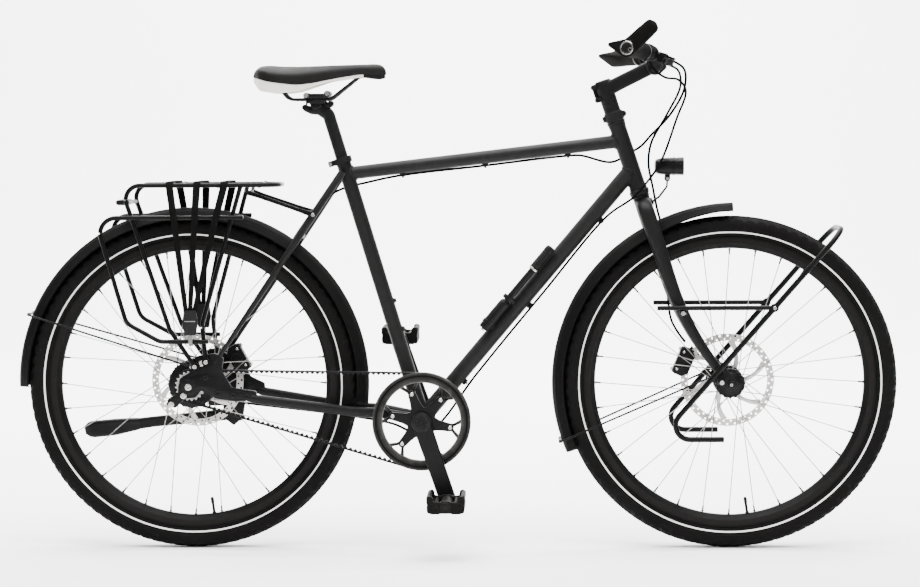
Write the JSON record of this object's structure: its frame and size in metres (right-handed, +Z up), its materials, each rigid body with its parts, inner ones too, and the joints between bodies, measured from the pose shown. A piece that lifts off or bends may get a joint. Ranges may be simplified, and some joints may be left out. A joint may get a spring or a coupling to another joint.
{
  "type": "touring bicycle",
  "caption": "Touring bicycle with a diamond frame, toothed belt drive, hub gears, disc brakes, racks, mudguards, lights and kickstand; wheels, cranks, steering and levers move.",
  "frame": {"origin": "on the ground under the middle of the whole bicycle's bounding box", "axes": "+X forward, +Y to the rider's left, +Z up"},
  "size_m": [1.9078, 0.6874, 1.1252],
  "materials": {
    "frame_paint": "satin black powder coat",
    "rack_paint": "gloss black coat on steel tube",
    "black_alloy": "black anodised",
    "silver_steel": "brushed",
    "rotor_steel": "ground",
    "rim_alloy": "black anodised, brushed side",
    "tire_rubber": "matt",
    "grip_rubber": "matt",
    "plastic": "satin",
    "guard_plastic": "satin",
    "belt": "matt",
    "leather": "satin",
    "cream": "satin",
    "webbing": "woven elastic",
    "red_lens": "gloss",
    "hose": "satin"
  },
  "bodies": {
    "frame": {"head_tube": "frame_paint", "top_tube": "frame_paint", "down_tube": "frame_paint", "seat_tube": "frame_paint", "bottom_bracket_shell": "frame_paint", "chainstay_right": "frame_paint", "chainstay_left": "frame_paint", "seatstay_right": "frame_paint", "seatstay_left": "frame_paint", "dropout_right": "black_alloy", "dropout_left": "black_alloy", "rear_axle": "black_alloy", "seat_clamp": "black_alloy", "rear_rack": "rack_paint", "rear_mudguard": "guard_plastic", "rear_mudguard_stays": "rack_paint", "rear_light": "red_lens", "luggage_strap": "webbing", "rear_brake_caliper": "black_alloy", "frame_pump": "plastic", "rear_brake_hose": "hose", "shift_cables": "hose", "drive_belt": "belt"},
    "steering": {"fork": "frame_paint", "stem": "black_alloy", "handlebar": "black_alloy", "grip_right": "grip_rubber", "grip_left": "grip_rubber", "brake_master_right": "black_alloy", "brake_master_left": "black_alloy", "headlight_bracket": "black_alloy", "front_mudguard": "guard_plastic", "front_mudguard_stays": "rack_paint", "lowrider_rack": "rack_paint", "front_brake_caliper": "black_alloy", "front_axle": "silver_steel", "front_brake_hose": "hose"},
    "front_wheel": {"front_tire": "tire_rubber", "front_rim": "rim_alloy", "front_hub": "black_alloy", "front_rotor": "rotor_steel"},
    "rear_wheel": {"rear_tire": "tire_rubber", "rear_rim": "rim_alloy", "rear_hub": "black_alloy", "rear_rotor": "rotor_steel"},
    "rear_sprocket": {"rear_sprocket": "silver_steel"},
    "crankset": {"crank_right": "black_alloy", "belt_ring": "black_alloy", "crank_left": "black_alloy"},
    "pedal_right": {"pedal_right": "plastic"},
    "pedal_left": {"pedal_left": "plastic"},
    "seatpost": {"seatpost": "black_alloy", "saddle_rails": "black_alloy", "saddle_shell": "cream", "saddle_cover": "leather"},
    "kickstand": {"kickstand": "black_alloy"},
    "brake_lever_right": {"brake_lever_right": "black_alloy"},
    "brake_lever_left": {"brake_lever_left": "black_alloy"},
    "twist_shifter": {"twist_shifter": "grip_rubber"},
    "headlight": {"headlight": "plastic"}
  },
  "joints": [
    {"name": "steering_turn", "type": "hinge", "parent": "frame", "child": "steering", "pos_m": [0.54361, 0, 0.34396], "axis": [-0.3156, 0, 0.9489], "range_deg": [-60, 60], "deforming": ["rear_brake_hose", "shift_cables"]},
    {"name": "front_wheel_spin", "type": "hinge", "parent": "steering", "child": "front_wheel", "pos_m": [0.59485, 0, 0.361], "axis": [0, 1, 0], "continuous": true},
    {"name": "rear_wheel_spin", "type": "hinge", "parent": "frame", "child": "rear_wheel", "pos_m": [-0.57115, 0, 0.361], "axis": [0, 1, 0], "continuous": true},
    {"name": "crank_turn", "type": "hinge", "parent": "frame", "child": "crankset", "pos_m": [-0.07054, 0, 0.283], "axis": [0, 1, 0], "continuous": true, "deforming": ["drive_belt"]},
    {"name": "sprocket_turn", "type": "hinge", "parent": "frame", "child": "rear_sprocket", "pos_m": [-0.57115, 0, 0.361], "axis": [0, 1, 0], "continuous": true, "deforming": ["drive_belt"]},
    {"name": "pedal_right_spin", "type": "hinge", "parent": "crankset", "child": "pedal_right", "pos_m": [-0.01473, 0, 0.11714], "axis": [0, 1, 0], "continuous": true},
    {"name": "pedal_left_spin", "type": "hinge", "parent": "crankset", "child": "pedal_left", "pos_m": [-0.12636, 0, 0.44886], "axis": [0, 1, 0], "continuous": true},
    {"name": "saddle_height", "type": "slide", "parent": "frame", "child": "seatpost", "axis": [-0.289, 0, 0.9573], "range_m": [-0.07, 0.05]},
    {"name": "kickstand_fold", "type": "hinge", "parent": "frame", "child": "kickstand", "pos_m": [-0.49843, 0.08429, 0.2778], "axis": [0.0343, -0.9361, -0.3502], "range_deg": [0, 121]},
    {"name": "brake_lever_right_pull", "type": "hinge", "parent": "steering", "child": "brake_lever_right", "pos_m": [0.45928, -0.14503, 1.04921], "axis": [-0.3678, 0.0928, -0.9253], "range_deg": [0, 17], "stiffness_Nm_per_rad": 0.6, "springref_deg": -17.19},
    {"name": "brake_lever_left_pull", "type": "hinge", "parent": "steering", "child": "brake_lever_left", "pos_m": [0.45928, 0.14503, 1.04921], "axis": [0.3678, 0.0928, 0.9253], "range_deg": [0, 17], "stiffness_Nm_per_rad": 0.6, "springref_deg": -17.19},
    {"name": "gear_twist", "type": "hinge", "parent": "steering", "child": "twist_shifter", "pos_m": [0.42768, -0.1, 1.06629], "axis": [0.2822, 0.9592, -0.016], "range_deg": [-135, 135]},
    {"name": "headlight_tilt", "type": "hinge", "parent": "steering", "child": "headlight", "pos_m": [0.46072, 0, 0.80222], "axis": [0, 1, 0], "range_deg": [-12, 12]}
  ],
  "couplings": [
    {"joint": "sprocket_turn", "follows": "crank_turn", "ratio": 3}
  ]
}
